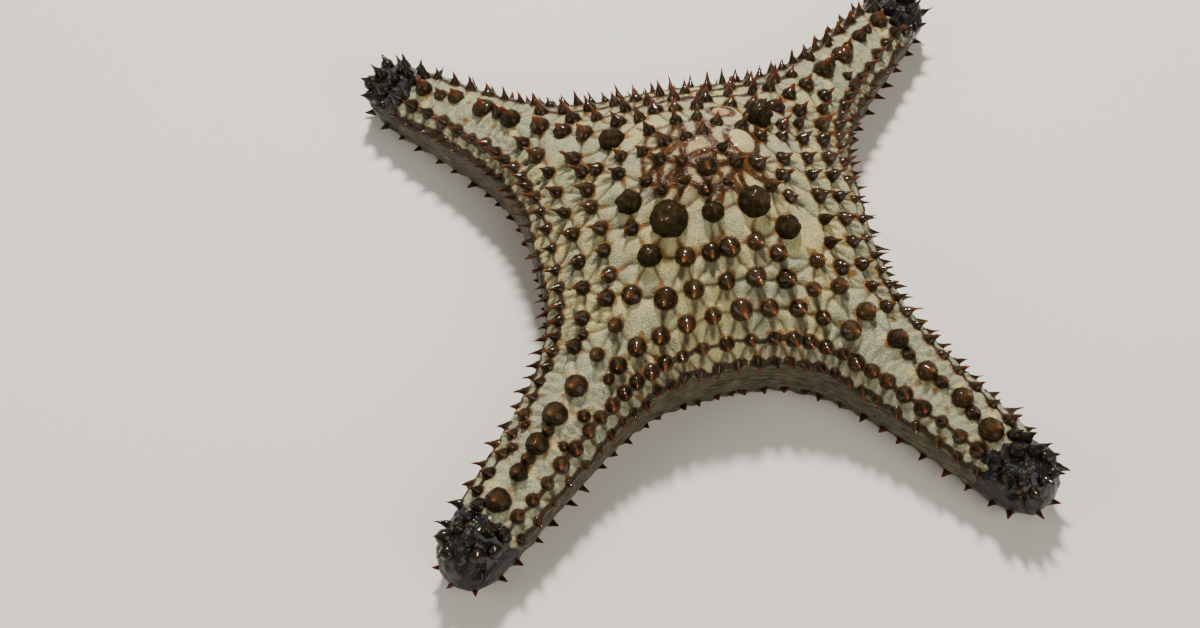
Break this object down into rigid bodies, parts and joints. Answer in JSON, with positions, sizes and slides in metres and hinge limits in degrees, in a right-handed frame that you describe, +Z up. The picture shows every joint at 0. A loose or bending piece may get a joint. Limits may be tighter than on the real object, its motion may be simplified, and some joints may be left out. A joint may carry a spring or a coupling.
{
  "type": "cushion sea star",
  "caption": "Life-size still model of a spiny, domed cushion sea star resting flat on its mouth side, its blunt arms spread.",
  "frame": {"origin": "the middle of the star's bounding box, on the floor that it lies on", "axes": "+Z up from the mouth side to the upper side; +Y runs away from the picture's viewer, between the two back arms; +X to the viewer's right"},
  "size_m": [0.2298, 0.2468, 0.0645],
  "materials": {
    "skin": "damp, granular olive-grey skin with dark tubercles",
    "tip_skin": "glossy black-brown skin and lumps of the arm tips",
    "sieve_skin": "chalky, finely grooved sieve plate",
    "mouth_skin": "soft, damp skin around the mouth"
  },
  "bodies": {
    "root": {"disc": "skin", "arm_front_left_root": "skin", "arm_front_left_middle": "skin", "arm_front_left_tip": "tip_skin", "arm_front_right_root": "skin", "arm_front_right_middle": "skin", "arm_front_right_tip": "tip_skin", "arm_back_right_root": "skin", "arm_back_right_middle": "skin", "arm_back_right_tip": "tip_skin", "arm_back_left_root": "skin", "arm_back_left_middle": "skin", "arm_back_left_tip": "tip_skin", "madreporite": "sieve_skin", "mouth": "mouth_skin"}
  },
  "joints": []
}
